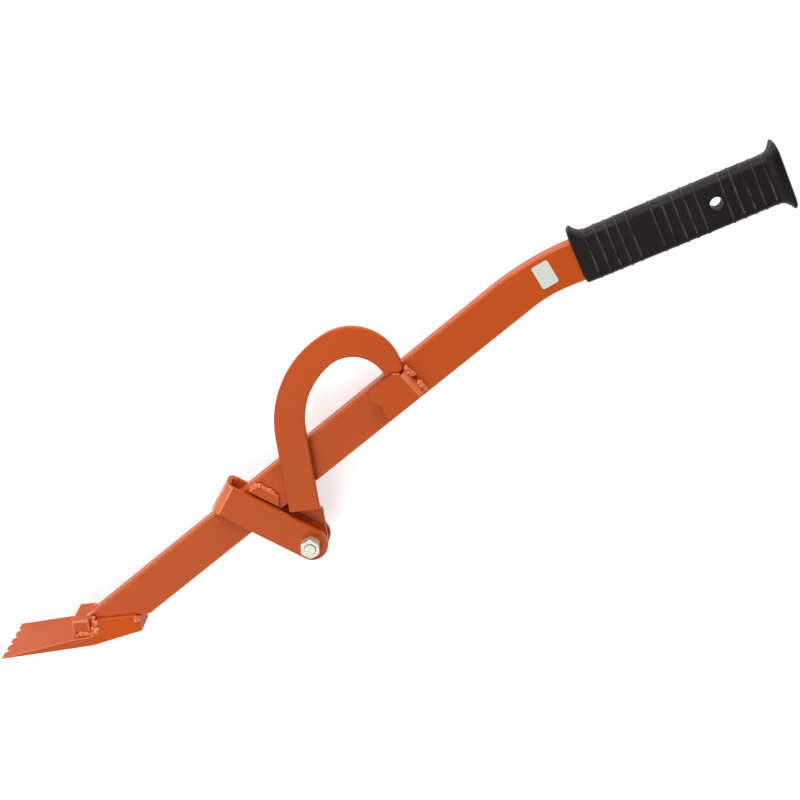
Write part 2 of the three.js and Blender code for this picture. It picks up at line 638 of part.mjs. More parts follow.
const handleTurn = (geometry) => geometry.applyMatrix4(new THREE.Matrix4().makeBasis(
  v3(handleRun.x, handleRun.y, 0), v3(handleUp.x, handleUp.y, 0), near,
).setPosition(handlePoint(0, 0).x, handlePoint(0, 0).y, 0));
const socketHalf = halfHeight + seatGap;
const socket = plate(rectangle(-cutOver, -socketHalf, tangEnd + seatGap, socketHalf),
  barThick + 2 * seatGap).translate(0, 0, -barThick / 2 - seatGap);
const hole = disc(hangHole / 2, gripThick + 2 * (gripSwell + cutOver))
  .translate(hangHoleReach, hangHoleRise, -gripThick / 2 - gripSwell - cutOver);
const gripBody = loft(gripRings.map((points) => points.reverse()));
add('handle_grip', 'rubber', handleTurn(cut(gripBody, socket, hole)));

// Label.
const labelShape = new THREE.Shape();
const [labelX, labelY] = [labelLength / 2, labelWidth / 2];
labelShape.absarc(labelX - labelCorner, labelY - labelCorner, labelCorner, 0, Math.PI / 2, false);
labelShape.absarc(-labelX + labelCorner, labelY - labelCorner, labelCorner, Math.PI / 2, Math.PI, false);
labelShape.absarc(-labelX + labelCorner, -labelY + labelCorner, labelCorner, Math.PI, 1.5 * Math.PI, false);
labelShape.absarc(labelX - labelCorner, -labelY + labelCorner, labelCorner, 1.5 * Math.PI, 2 * Math.PI, false);
const label = plate(labelShape, labelThick).rotateZ(labelTilt);
label.translate(bendVertex + labelReach, halfHeight - bendSetback * Math.sin(bendAngle / 2) / 2, barFace + seatGap);
add('blank_label', 'label', label);

// Origin under the middle.
const box = new THREE.Box3().setFromObject(group);
const middle = box.getCenter(v3(0, 0, 0));
for (const mesh of group.children) {
  mesh.geometry.translate(-middle.x, -middle.y, -box.min.z);
}

export default group;
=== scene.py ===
import math
import random

import bmesh
import bpy
from mathutils import Matrix, Vector


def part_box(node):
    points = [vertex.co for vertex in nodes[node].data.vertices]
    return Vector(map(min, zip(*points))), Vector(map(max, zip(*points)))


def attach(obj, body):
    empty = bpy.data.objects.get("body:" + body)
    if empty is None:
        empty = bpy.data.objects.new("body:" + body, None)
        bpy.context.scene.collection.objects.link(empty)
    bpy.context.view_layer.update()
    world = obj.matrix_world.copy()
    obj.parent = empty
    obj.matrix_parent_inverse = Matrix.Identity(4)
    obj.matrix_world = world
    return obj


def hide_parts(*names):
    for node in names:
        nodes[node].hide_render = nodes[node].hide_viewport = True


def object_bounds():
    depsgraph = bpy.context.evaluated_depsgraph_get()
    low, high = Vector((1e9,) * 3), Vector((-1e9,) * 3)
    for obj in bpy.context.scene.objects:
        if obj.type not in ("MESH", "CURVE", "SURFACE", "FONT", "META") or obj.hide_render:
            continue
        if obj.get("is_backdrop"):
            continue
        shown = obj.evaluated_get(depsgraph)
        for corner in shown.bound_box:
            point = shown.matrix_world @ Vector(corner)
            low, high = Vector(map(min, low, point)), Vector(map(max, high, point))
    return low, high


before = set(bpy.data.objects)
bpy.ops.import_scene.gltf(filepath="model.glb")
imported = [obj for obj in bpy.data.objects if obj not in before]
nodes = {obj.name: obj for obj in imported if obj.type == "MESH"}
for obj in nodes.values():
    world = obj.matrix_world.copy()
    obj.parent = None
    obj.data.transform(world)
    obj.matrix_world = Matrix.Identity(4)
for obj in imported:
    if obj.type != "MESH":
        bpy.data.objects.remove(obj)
cad_low, cad_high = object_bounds()

# Floor and light. The lever lies on its far side on a pale studio floor, under two big soft
# panels. The stronger panel stands past the bar's upper edge, so the upper edges are light and
# the faces turned to the foot and the grip are a little darker.
MM = 0.001               # sizes are in millimetres, the frame in metres
bolt_low, bolt_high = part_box("pivot_bolt")
bolt_middle = (bolt_low + bolt_high) / 2
bar_low, bar_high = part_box("lever_bar")
bolt_drop = 40.6         # of the bolt below the bar's lower edge
pivot_origin = Vector((bolt_middle.x, bolt_middle.y + bolt_drop * MM, (bar_low.z + bar_high.z) / 2))


def place(x, y, z=0.0):
    """A point in millimetres, from the bar's lower edge above the bolt and its middle plane."""
    return pivot_origin + Vector((x, y, z)) * MM


def wired(material_name):
    """A new node material, its node tree and its Principled shader."""
    material = bpy.data.materials.new(material_name)
    material.use_nodes = True
    tree = material.node_tree
    return material, tree, tree.nodes["Principled BSDF"]


def paper_white(name, seen):
    """Diffuse white to which the camera and mirrors add a chosen brightness."""
    material, tree, shader = wired(name)
    shader.inputs["Base Color"].default_value = (0.86, 0.86, 0.85, 1)
    shader.inputs["Roughness"].default_value = 0.9
    shader.inputs["Specular IOR Level"].default_value = 0.0
    path = tree.nodes.new("ShaderNodeLightPath")
    either = tree.nodes.new("ShaderNodeMath")
    either.operation = "MAXIMUM"
    strength = tree.nodes.new("ShaderNodeMath")
    strength.operation = "MULTIPLY"
    strength.inputs[1].default_value = seen
    glow = tree.nodes.new("ShaderNodeEmission")
    glow.inputs["Color"].default_value = (1, 1, 1, 1)
    both = tree.nodes.new("ShaderNodeAddShader")
    link = tree.links.new
    link(path.outputs["Is Camera Ray"], either.inputs[0])
    link(path.outputs["Is Glossy Ray"], either.inputs[1])
    link(either.outputs[0], strength.inputs[0])
    link(strength.outputs[0], glow.inputs["Strength"])
    link(shader.outputs[0], both.inputs[0])
    link(glow.outputs[0], both.inputs[1])
    link(both.outputs[0], tree.nodes["Material Output"].inputs["Surface"])
    return material


floor_side = 12
floor_gap = 0.5
bpy.ops.object.select_all(action="DESELECT")
bpy.ops.mesh.primitive_plane_add(size=floor_side, location=(0, 0, cad_low.z - floor_gap * MM))
floor = bpy.context.object
floor.name = "studio_floor"
floor.data.materials.append(paper_white("floor_paper", seen=0.52))
floor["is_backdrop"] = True

air_strength = 0.36
world = bpy.data.worlds.new("studio_air")
bpy.context.scene.world = world
world.use_nodes = True
air = world.node_tree.nodes["Background"]
air.inputs["Color"].default_value = (1, 1, 1, 1)
air.inputs["Strength"].default_value = air_strength


def soft_panel(name, aim, offset, size, watts):
    """A square area lamp at an offset, in metres, from the point it is turned to."""
    lamp = bpy.data.lights.new(name, "AREA")
    lamp.shape = "SQUARE"
    lamp.size = size
    lamp.energy = watts
    panel = bpy.data.objects.new(name, lamp)
    bpy.context.scene.collection.objects.link(panel)
    panel.location = aim + offset
    panel.rotation_euler = (-offset).to_track_quat("-Z", "Y").to_euler()


middle = place(110, 10)
soft_panel("upper_panel", middle, Vector((0.8, 1.6, 0.9)), size=1.5, watts=33)
soft_panel("front_panel", middle, Vector((-1.15, -0.45, 1.8)), size=1.4, watts=17)

# Camera. It looks down on the lever's hook side from past the grip, turned so that the foot
# is low on the left and the grip high on the right. The lens sees the whole lever.
camera_data = bpy.data.cameras.new("camera")
camera_data.sensor_width = 36
camera_data.lens = 67.5
camera_data.clip_start, camera_data.clip_end = 0.05, 20
camera = bpy.data.objects.new("camera", camera_data)
bpy.context.scene.collection.objects.link(camera)
bpy.context.scene.camera = camera
right = Vector((0.75299763, -0.65612249, -0.04997844)).normalized()
ahead = Vector((-0.26259682, -0.22998784, -0.93709578)).normalized()
right = (right - ahead * right.dot(ahead)).normalized()
above = right.cross(ahead).normalized()
camera_turn = Matrix((right, above, -ahead)).transposed().to_4x4()
camera_place = place(483.601, 304.074, 1205.492)
camera.matrix_world = Matrix.Translation(camera_place) @ camera_turn
bpy.context.scene.view_settings.view_transform = "Standard"

# Lever bar. A flat steel bar with rolled edges, cut at a slant for the foot and cranked once
# near the grip, under an orange powder coat that is thicker and glossier over the edges; the
# lighter orange on the edges is a painted highlight.


def surface_group():
    """Shared surface life: slow tint changes, fine grain and scattered dust."""
    noise_low, noise_high = 0.3, 0.7      # most of a noise lies between these
    speck_scale, speck_detail, speck_roughness = 420, 4, 0.75
    speck_edge, speck_full = 0.6, 0.74
    group = bpy.data.node_groups.new("surface_life", "ShaderNodeTree")
    for name, kind, value in (
        ("Color", "NodeSocketColor", (0.8, 0.8, 0.8, 1)),
        ("Dust Color", "NodeSocketColor", (0.7, 0.66, 0.6, 1)),
        ("Tint Change", "NodeSocketFloat", 0.08),
        ("Tint Scale", "NodeSocketFloat", 14.0),
        ("Grain Scale", "NodeSocketFloat", 900.0),
        ("Dust Amount", "NodeSocketFloat", 0.1),
        ("Roughness", "NodeSocketFloat", 0.4),
        ("Roughness Change", "NodeSocketFloat", 0.1),
    ):
        socket = group.interface.new_socket(name, in_out="INPUT", socket_type=kind)
        socket.default_value = value
    for name, kind in (("Color", "NodeSocketColor"), ("Roughness", "NodeSocketFloat"),
                       ("Height", "NodeSocketFloat")):
        group.interface.new_socket(name, in_out="OUTPUT", socket_type=kind)
    enter = group.nodes.new("NodeGroupInput")
    leave = group.nodes.new("NodeGroupOutput")
    link = group.links.new
    where = group.nodes.new("ShaderNodeTexCoord")

    slow = group.nodes.new("ShaderNodeTexNoise")
    slow.inputs["Detail"].default_value = 3
    link(where.outputs["Object"], slow.inputs["Vector"])
    link(enter.outputs["Tint Scale"], slow.inputs["Scale"])
    fine = group.nodes.new("ShaderNodeTexNoise")
    fine.inputs["Detail"].default_value = 2
    link(where.outputs["Object"], fine.inputs["Vector"])
    link(enter.outputs["Grain Scale"], fine.inputs["Scale"])
    specks = group.nodes.new("ShaderNodeTexNoise")
    specks.inputs["Scale"].default_value = speck_scale
    specks.inputs["Detail"].default_value = speck_detail
    specks.inputs["Roughness"].default_value = speck_roughness
    link(where.outputs["Object"], specks.inputs["Vector"])

    centred = group.nodes.new("ShaderNodeMapRange")
    centred.inputs["From Min"].default_value = noise_low
    centred.inputs["From Max"].default_value = noise_high
    centred.inputs["To Min"].default_value = -1
    centred.inputs["To Max"].default_value = 1
    link(slow.outputs["Fac"], centred.inputs["Value"])
    level = group.nodes.new("ShaderNodeMath")
    level.operation = "MULTIPLY_ADD"
    level.inputs[2].default_value = 1
    link(centred.outputs["Result"], level.inputs[0])
    link(enter.outputs["Tint Change"], level.inputs[1])
    tinted = group.nodes.new("ShaderNodeVectorMath")
    tinted.operation = "SCALE"
    link(enter.outputs["Color"], tinted.inputs[0])
    link(level.outputs[0], tinted.inputs["Scale"])

    rare = group.nodes.new("ShaderNodeMapRange")
    rare.inputs["From Min"].default_value = speck_edge
    rare.inputs["From Max"].default_value = speck_full
    link(specks.outputs["Fac"], rare.inputs["Value"])
    dust = group.nodes.new("ShaderNodeMath")
    dust.operation = "MULTIPLY"
    link(rare.outputs["Result"], dust.inputs[0])
    link(enter.outputs["Dust Amount"], dust.inputs[1])
    dusted = group.nodes.new("ShaderNodeMix")
    dusted.data_type = "RGBA"
    link(dust.outputs[0], dusted.inputs["Factor"])
    link(tinted.outputs["Vector"], dusted.inputs["A"])
    link(enter.outputs["Dust Color"], dusted.inputs["B"])
    link(dusted.outputs["Result"], leave.inputs["Color"])

    rougher = group.nodes.new("ShaderNodeMath")
    rougher.operation = "MULTIPLY_ADD"
    link(centred.outputs["Result"], rougher.inputs[0])
    link(enter.outputs["Roughness Change"], rougher.inputs[1])
    link(enter.outputs["Roughness"], rougher.inputs[2])
    bounded = group.nodes.new("ShaderNodeMath")
    bounded.operation = "ADD"
    bounded.use_clamp = True
    link(rougher.outputs[0], bounded.inputs[0])
    link(dust.outputs[0], bounded.inputs[1])
    link(bounded.outputs[0], leave.inputs["Roughness"])
    link(fine.outputs["Fac"], leave.inputs["Height"])
    return group


surface_life = surface_group()
grain_depth = 0.4


def living(name, color, roughness, bump, specular=0.5, metallic=0.0, **values):
    """A Principled material whose colour, roughness and grain come from the shared surface."""
    material, tree, shader = wired(name)
    shader.inputs["Specular IOR Level"].default_value = specular
    shader.inputs["Metallic"].default_value = metallic
    life = tree.nodes.new("ShaderNodeGroup")
    life.node_tree = surface_life
    life.inputs["Color"].default_value = (*color, 1)
    life.inputs["Roughness"].default_value = roughness
    for socket, value in values.items():
        life.inputs[socket.replace("_", " ").title()].default_value = value
    grain = tree.nodes.new("ShaderNodeBump")
    grain.inputs["Strength"].default_value = bump
    grain.inputs["Distance"].default_value = grain_depth * MM
    tree.links.new(life.outputs["Color"], shader.inputs["Base Color"])
    tree.links.new(life.outputs["Roughness"], shader.inputs["Roughness"])
    tree.links.new(life.outputs["Height"], grain.inputs["Height"])
    tree.links.new(grain.outputs["Normal"], shader.inputs["Normal"])
    return material


orange_coat = living(
    "orange_powder_coat", (0.56, 0.086, 0.009), roughness=0.3, bump=0.3, specular=0.11,
    tint_change=0.05, tint_scale=9, grain_scale=700, dust_amount=0.05, roughness_change=0.05)
# The edge coat is glossier than the faces, and its lighter orange is a painted highlight on edges
# and on faces turned to the light.
edge_gloss_and_highlight = living(
    "orange_edge_gloss_painted_highlight", (0.74, 0.18, 0.055), roughness=0.22, bump=0.3, specular=0.6,
    tint_change=0.1, tint_scale=60, grain_scale=700, dust_amount=0.05, roughness_change=0.05)


def only(part):
    """Leaves one object selected and active."""
    bpy.ops.object.select_all(action="DESELECT")
    part.select_set(True)
    bpy.context.view_layer.objects.active = part


def finished(part, *modifiers):
    """Applies modifiers, given as a kind and its settings, one after another."""
    only(part)
    for kind, settings in modifiers:
        modifier = part.modifiers.new(kind.lower(), kind)
        for setting, value in settings.items():
            setattr(modifier, setting, value)
        bpy.ops.object.modifier_apply(modifier=modifier.name)
    return part


def clothed(part, materials, body, angle=40):
    """Smooths a finished piece, and gives it its materials and the body it rides."""
    only(part)
    for material in materials:
        part.data.materials.append(material)
    bpy.ops.object.shade_smooth_by_angle(angle=math.radians(angle))
    if angle < 90:
        finished(part, ("WEIGHTED_NORMAL", {"keep_sharp": True, "weight": 90}))
    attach(part, body)


merge_distance = 0.01
flat_fold, sharp_fold = 0.5, 28       # degrees, of faces made one and of edges rounded
edge_strip = 0.3                      # a strip's area over its outline, at most


def coated(name, node, rounding, body="lever", angle=40, finishes=(orange_coat, edge_gloss_and_highlight)):
    """The steel of a node with its edges rounded, and on them the glossier edge coat, whose lighter
    orange is a painted highlight.
    """
    part = bpy.data.objects.new(name, nodes[node].data.copy())
    part.data.materials.clear()
    bpy.context.scene.collection.objects.link(part)
    only(part)
    bpy.ops.object.mode_set(mode="EDIT")
    bpy.ops.mesh.select_all(action="SELECT")
    bpy.ops.mesh.remove_doubles(threshold=merge_distance * MM)
    bpy.ops.mesh.normals_make_consistent(inside=False)
    bpy.ops.mesh.dissolve_limited(angle_limit=math.radians(flat_fold))
    bpy.ops.object.mode_set(mode="OBJECT")
    finished(part, ("BEVEL", {"width": rounding * MM, "segments": 2, "limit_method": "ANGLE",
                              "angle_limit": math.radians(sharp_fold),
                              "use_clamp_overlap": True}))
    clothed(part, finishes, body, angle)
    # Narrow strips along the edges take the lighter edge orange: a painted highlight.
    for face in part.data.polygons:
        corners = [part.data.vertices[index].co for index in face.vertices]
        around = sum((corner - corners[index - 1]).length for index, corner in enumerate(corners))
        if face.area < around * edge_strip * MM:
            face.material_index = 1
    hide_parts(node)
    return part


coated("bar_steel", "lever_bar", rounding=0.4)

# Foot. A forged steel wedge with five filed teeth, which carries the bar on its narrow heel,
# and a block welded across it ahead of the bar's end. Both have the bar's orange coat.
coated("foot_forging", "foot_blade", rounding=0.5, angle=58)
coated("foot_block", "stop_block", rounding=0.5)

# Shackle. Flat strip bent square round the bar, free to slide along it. Its two legs end in
# round eyes on the pivot bolt.
coated("shackle_strip", "shackle_strap", rounding=0.3, body="shackle")

# Turning hook. A flat sickle cut from plate and stepped back to its eye, between the shackle's
# legs. It turns on the pivot bolt.
coated("hook_sickle", "turning_hook", rounding=0.3, body="hook")

# Catch and lug. A flame-cut strip folded down along one side, over the hook's point, and a flat
# lug beside the shackle. Both are welded to the bar. The strip's cut edges toward the foot and
# up past the bar are painted dark, a painted shadow of the gap under the strip, and its folded
# side, turned to the grip, takes the lighter edge orange, a painted highlight.
# A dark orange for the strip's cut edges: a painted shadow.
painted_edge_shadow = living("catch_edge_painted_shadow", (0.2, 0.024, 0.004), roughness=0.5, bump=0.8, specular=0.1,
                  tint_change=0.4, tint_scale=300)
highlight_flange_lean, shadow_edge_lean, shadow_top_lean = 0.35, -0.35, 0.5
catch = coated("catch_strip", "hook_catch", rounding=0.6,
               finishes=(orange_coat, edge_gloss_and_highlight, painted_edge_shadow))
# Faces turned to the grip take the lighter edge orange, a painted highlight; faces turned to the
# foot or up take the dark orange, a painted shadow.
for face in catch.data.polygons:
    if face.normal.x > highlight_flange_lean:
        face.material_index = 1
    elif face.normal.x < shadow_edge_lean or face.normal.y > shadow_top_lean:
        face.material_index = 2
coated("lug_plate", "stop_lug", rounding=0.3)

# Welds. Hand-laid arc welds under the same coat: drops of steel that ran together, heavy and
# uneven at the stop block, thin and even along the heel, short and lumpy at catch and lug.
# Their coat is glossier than the bar's, and its lighter orange is a painted highlight; the
# heel's seam keeps the bar's orange.
# The welds' lighter orange is a painted highlight; the speckled tint is the beads' uneven tone.
weld_coat_painted_highlight = living(
    "weld_coat_painted_highlight", (0.78, 0.2, 0.07), roughness=0.25, bump=0.6, specular=0.7,
    tint_change=0.28, tint_scale=480, grain_scale=1200, dust_amount=0.1, roughness_change=0.1)
drop_sides, drop_rings = 14, 10
skin_grain, skin_ripple = 0.35, 1.4
foot_turn = math.radians(33.5)
foot_tip = (-286.004, 59.829)


def on_foot(along, up, out):
    """A point of the foot, along it and up from the toothed edge, in the pivot's millimetres."""
    return Vector((foot_tip[0] + along * math.cos(foot_turn) + up * math.sin(foot_turn),
                   foot_tip[1] - along * math.sin(foot_turn) + up * math.cos(foot_turn), out))


def drops(start, end, radius, step, scatter, seed):
    """Points and radii of drops laid from start to end, each a little off the line."""
    draw = random.Random(seed)
    count = max(2, round((end - start).length / step) + 1)
    laid = []
    for index in range(count):
        spot = start.lerp(end, index / (count - 1))
        off = Vector((draw.uniform(-1, 1), draw.uniform(-1, 1), draw.uniform(-0.6, 1)))
        laid.append((spot + off * scatter, radius * draw.uniform(0.75, 1.25)))
    return laid


def weld(name, node, laid, ripple, smooth=1, coat=weld_coat_painted_highlight):
    """Melts the drops into one bead with a rippled skin, in the place of a node."""
    made = []
    for spot, radius in laid:
        bpy.ops.mesh.primitive_uv_sphere_add(segments=drop_sides, ring_count=drop_rings,
                                             radius=radius * MM, location=place(*spot))
        made.append(bpy.context.object)
    bead = made[-1]
    bead.name = name
    only(bead)
    for drop in made:
        drop.select_set(True)
    bpy.ops.object.join()
    bpy.ops.object.transform_apply(location=True, rotation=True, scale=True)
    skin = bpy.data.textures.new(name, "CLOUDS")
    skin.noise_scale = skin_ripple * MM
    finished(bead,
             ("REMESH", {"mode": "VOXEL", "voxel_size": skin_grain * MM}),
             ("SMOOTH", {"factor": 0.5, "iterations": smooth}),
             ("DISPLACE", {"texture": skin, "texture_coords": "LOCAL", "strength": ripple * MM,
                           "mid_level": 0.5}),
             ("SMOOTH", {"factor": 0.5, "iterations": 1}))
    clothed(bead, (coat,), "lever", angle=180)
    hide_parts(node)
    return bead


def mirrored(laid):
    """The same drops on the other side of the bar."""
    return [(Vector((spot.x, spot.y, -spot.z)), radius) for spot, radius in laid]


end_drops = drops(on_foot(82.2, 18.4, 8.2), on_foot(81.6, 24.2, 8.6),
                  radius=2.2, step=1.8, scatter=0.7, seed=3)
end_drops += [(on_foot(84.4, 20.6, 8.6), 1.9), (on_foot(86.1, 15.4, 11.4), 3.4),
              (on_foot(83.6, 17.0, 10.2), 2.4)]
climbing_drops = drops(on_foot(80.4, 23.6, 9.6), on_foot(85.4, 26.8, 7.6),
                       radius=1.5, step=1.6, scatter=0.6, seed=5)
climbing_drops += [(on_foot(79.2, 21.4, 11.4), 1.4)]
seam_drops = (
    drops(on_foot(87, 18.0, 8.1), on_foot(122.5, 18.0, 8.1),
          radius=1.5, step=0.7, scatter=0.04, seed=7)
    + drops(on_foot(87, 17.1, 9.2), on_foot(121.5, 17.1, 9.2),
            radius=1.5, step=0.7, scatter=0.04, seed=8))
heel_drops = [(on_foot(123.4, 14.9, 11.4), 2.2), (on_foot(126.4, 15.2, 10.8), 1.8)]
heel_middle, heel_reach = place(*on_foot(124.6, 15, 0)), 4
block_drops = (
    drops(on_foot(66.6, 8.8, 18.0), on_foot(66.8, 13.2, 17.8),
          radius=1.4, step=1.2, scatter=0.2, seed=11)
    + drops(on_foot(69.0, 8.8, 18.2), on_foot(81.0, 8.8, 18.2),
            radius=1.5, step=1.0, scatter=0.1, seed=12)
    + drops(on_foot(73.4, 10.4, 18.2), on_foot(78.2, 10.0, 18.2),
            radius=2.6, step=1.6, scatter=0.3, seed=13)
    + drops(on_foot(83.0, 9.4, 18.8), on_foot(88.0, 12.4, 15.6),
            radius=1.9, step=1.3, scatter=0.6, seed=17)
    + drops(on_foot(83.2, 13.2, 15.0), on_foot(87.4, 9.8, 17.8),
            radius=1.7, step=1.5, scatter=0.6, seed=19))
for side, turned, climbing in (("near", list, climbing_drops), ("far", mirrored, [])):
    weld(f"end_weld_{side}", f"weld_bar_end_{side}", turned(end_drops + climbing),
         ripple=0.8, smooth=2)
    # The seam is thin and even in the bar's orange, but for two drops at the heel's end in the
    # lighter weld orange, a painted highlight.
    seam = weld(f"seam_weld_{side}", f"weld_seam_{side}", turned(seam_drops + heel_drops),
                ripple=0.12, smooth=4, coat=orange_coat)
    seam.data.materials.append(weld_coat_painted_highlight)
    for face in seam.data.polygons:
        if (face.center - heel_middle).xy.length < heel_reach * MM:
            face.material_index = 1
    weld(f"block_weld_{side}", f"weld_stop_{side}", turned(block_drops), ripple=0.7, smooth=2)

catch_spatter = [(Vector((138.6, 11.4, 18.2)), 1.4), (Vector((139.4, 9.6, 18.0)), 1.1)]
for label, node, high, low, seed, spatter in (
        ("catch_weld_high", "weld_catch_upper", 29.4, 20.4, 23, []),
        ("catch_weld_low", "weld_catch_lower", 13.0, 4.0, 29, catch_spatter)):
    root = drops(Vector((171.6, high, 8.6)), Vector((172.2, low, 8.6)),
                 radius=2.1, step=1.5, scatter=0.5, seed=seed)
    cap = drops(Vector((170.8, high - 1, 11.6)), Vector((171.2, low + 1, 11.6)),
                radius=1.7, step=1.7, scatter=0.6, seed=seed + 1)
    weld(label, node, root + cap + spatter, ripple=1.0, smooth=2)

lug_middle = Vector((0.56, 19.6, 8.2))
lug_turn = math.radians(111)
lug_run = Vector((math.cos(lug_turn), math.sin(lug_turn), 0))
lug_side = Vector((lug_run.y, -lug_run.x, 0))


def on_lug(along, aside, out=0):
    """A point at the lug's root, along it and to the side of its middle."""
    return lug_middle + lug_run * along + lug_side * aside + Vector((0, 0, out))


weld("lug_weld_end", "weld_lug_end",
     drops(on_lug(14.2, -1.2), on_lug(11, 4.4), radius=1.6, step=1.5, scatter=0.4, seed=31),
     ripple=0.9)
weld("lug_weld_side", "weld_lug_side",
     drops(on_lug(9.4, 5.0), on_lug(-5.4, 5.2), radius=1.5, step=1.9, scatter=0.5, seed=37)
     + [(on_lug(8.4, 4.6, 2.0), 1.7)],
     ripple=1.0)

# Pivot. A zinc-plated M10 bolt and its lock nut, with an off-white nylon ring under the nut's
# rolled lip. The bolt's sheared end is matt and a little rough.
zinc = living("zinc_plate", (0.68, 0.65, 0.58), roughness=0.36, bump=0.9, metallic=0.6,
              tint_change=0.3, tint_scale=750, grain_scale=1100, dust_amount=0.25)
nylon = living("nylon", (0.78, 0.77, 0.7), roughness=0.5, bump=0.1, tint_change=0.05)
across_flats = 16
corner_cut, corner_fold = 1.0, 50      # the cone at a hexagon's corners, and its least fold
edge_break, edge_fold = 0.15, 25       # the hexagon's other edges
cone_room = 1.01                       # the cone's radius over the hexagon's
least_facing = 0.9                     # share of a normal along the way that a face looks


def turned_rod(name, radius, low, high, sides=64, turn=0):
    """A round or many-sided rod between two heights on the pivot's axis."""
    bpy.ops.object.select_all(action="DESELECT")
    bpy.ops.mesh.primitive_cylinder_add(
        vertices=sides, radius=radius * MM, depth=high - low, rotation=(0, 0, math.radians(turn)),
        location=(bolt_middle.x, bolt_middle.y, (low + high) / 2))
    rod = bpy.context.object
    rod.name = name
    bpy.ops.object.transform_apply(location=True, rotation=True, scale=True)
    return rod


def cut_with(part, tool, operation="DIFFERENCE"):
    """Cuts a piece with a tool, which is then thrown away."""
    finished(part, ("BOOLEAN", {"operation": operation, "object": tool, "solver": "EXACT"}))
    bpy.data.objects.remove(tool)


def hexagon(name, low, high, turn):
    """A hexagon between two heights, its corners turned down to a cone at both ends."""
    corner = across_flats / math.sqrt(3)
    rod = turned_rod(name, corner, low, high, sides=6, turn=turn)
    cone = turned_rod("cone", corner * cone_room, low, high, sides=96)
    finished(cone, ("BEVEL", {"width": corner_cut * MM, "segments": 1, "limit_method": "ANGLE",
                              "angle_limit": math.radians(corner_fold)}))
    cut_with(rod, cone, "INTERSECT")
    return finished(rod, ("BEVEL", {"width": edge_break * MM, "segments": 1,
                                    "limit_method": "ANGLE",
                                    "angle_limit": math.radians(edge_fold)}))


def select_facing(part, way):
    """In edit mode, selects only the faces that look one way."""
    bpy.ops.mesh.select_mode(type="FACE")
    bpy.ops.mesh.select_all(action="DESELECT")
    sketch = bmesh.from_edit_mesh(part.data)
    for face in sketch.faces:
        face.select = face.normal.dot(Vector(way)) > least_facing
    bmesh.update_edit_mesh(part.data)


def drawn_up(rise, change, centre):
    """In edit mode, raises the selected face and changes its width about a centre."""
    bpy.ops.mesh.extrude_region_move(TRANSFORM_OT_translate={"value": (0, 0, rise * MM)})
    bpy.ops.transform.resize(value=(change, change, 1), center_override=centre)


nut_lip, bore_radius = 0.45, 5.35
ring_play, ring_rim = 0.1, 0.05
nut_low, nut_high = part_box("lock_nut")
ring_low, ring_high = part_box("nut_insert")
nut = hexagon("pivot_nut", nut_low.z, nut_high.z + nut_lip * MM, turn=21)
cut_with(nut, turned_rod("bore", bore_radius, nut_low.z - MM, nut_high.z + MM))
cut_with(nut, turned_rod("pocket", (ring_high.x - ring_low.x) / 2 / MM + ring_play,
                         ring_low.z, ring_high.z + ring_rim * MM))
clothed(nut, (zinc,), "shackle", angle=28)
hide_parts("lock_nut")

screw_radius, head_height, shank_start = 4.95, 6.4, 5
thread_turns, thread_run, thread_root = 9, 13.6, 0.86
thread_steps = ((0.2, thread_root), (0.35, 1), (0.75, 1 / thread_root), (0.2, 1))
end_inset, end_rise = 0.5, 0.25
bolt = turned_rod("pivot_screw", screw_radius, bolt_low.z + shank_start * MM,
                  bolt_high.z - thread_run * MM, sides=48)
only(bolt)
bpy.ops.object.mode_set(mode="EDIT")
select_facing(bolt, (0, 0, 1))
for _ in range(thread_turns):
    for rise, change in thread_steps:
        drawn_up(rise, change, bolt_middle)
bpy.ops.mesh.inset(thickness=end_inset * MM, depth=end_rise * MM)
bpy.ops.object.mode_set(mode="OBJECT")
bolt_head = hexagon("bolt_head", bolt_low.z, bolt_low.z + head_height * MM, turn=11)
only(bolt)
bolt_head.select_set(True)
bpy.ops.object.join()
clothed(bolt, (zinc,), "shackle", angle=28)
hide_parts("pivot_bolt")


def dressed(name, material, angle=30):
    """Gives a CAD node its material and smooths only its gentle folds."""
    part = nodes[name]
    part.data.materials.clear()
    part.data.materials.append(material)
    only(part)
    bpy.ops.object.shade_smooth_by_angle(angle=math.radians(angle))


dressed("nut_insert", nylon)

# Label. A small plain sticker with rounded corners, on the bar's near face between the catch
# and the grip. It is a satin film.
dressed("blank_label", living("label_film", (0.72, 0.76, 0.69), roughness=0.42, bump=0.05,
                              tint_change=0.04))

# Grip. A moulded black rubber sleeve pulled over the bar's end, with a collar that guards the
# hand, three groups of five ribs, a flared butt and the lined hole that the lever hangs by.
rubber = living("black_rubber", (0.0062, 0.0044, 0.0028), roughness=0.55, bump=0.5,
                specular=0.26, tint_change=0.3, tint_scale=30, grain_scale=1000, dust_amount=0.03)
# A lighter rubber for the ribs' crests: a painted highlight.
crest_painted_highlight = living("rib_crest_painted_highlight", (0.048, 0.04, 0.03), roughness=0.5, bump=0.4, specular=0.2,
               tint_change=0.9, tint_scale=110, grain_scale=1000, dust_amount=0.1)
grip_front = place(338.932, 7.371)
grip_turn = math.radians(-16.75)
grip_length, grip_height, grip_thick = 178.6, 42.4, 20
edge_round, belly = 6, 0.25
collar_rise, collar_run, collar_lip = 7.5, 17, 4
butt_rise, butt_side_rise, butt_run, butt_lip = 8.1, 6, 15.5, 2.6
front_round = 2.4
rib_width, rib_height, rib_pitch = 2.2, 0.55, 9.1
ribs = [share * grip_length + index * rib_pitch
        for share in (0.073, 0.393, 0.719) for index in range(5)]


def rounded_off(distance, radius):
    """How far a rounded edge stands back at a distance from the end."""
    if distance >= radius:
        return 0
    return radius * (1 - math.sqrt(1 - (1 - distance / radius) ** 2))


def flared(distance, length, lip):
    """Share of a flare that has risen at a distance from the end."""
    return min(max((length - distance) / (length - lip), 0), 1) ** 3


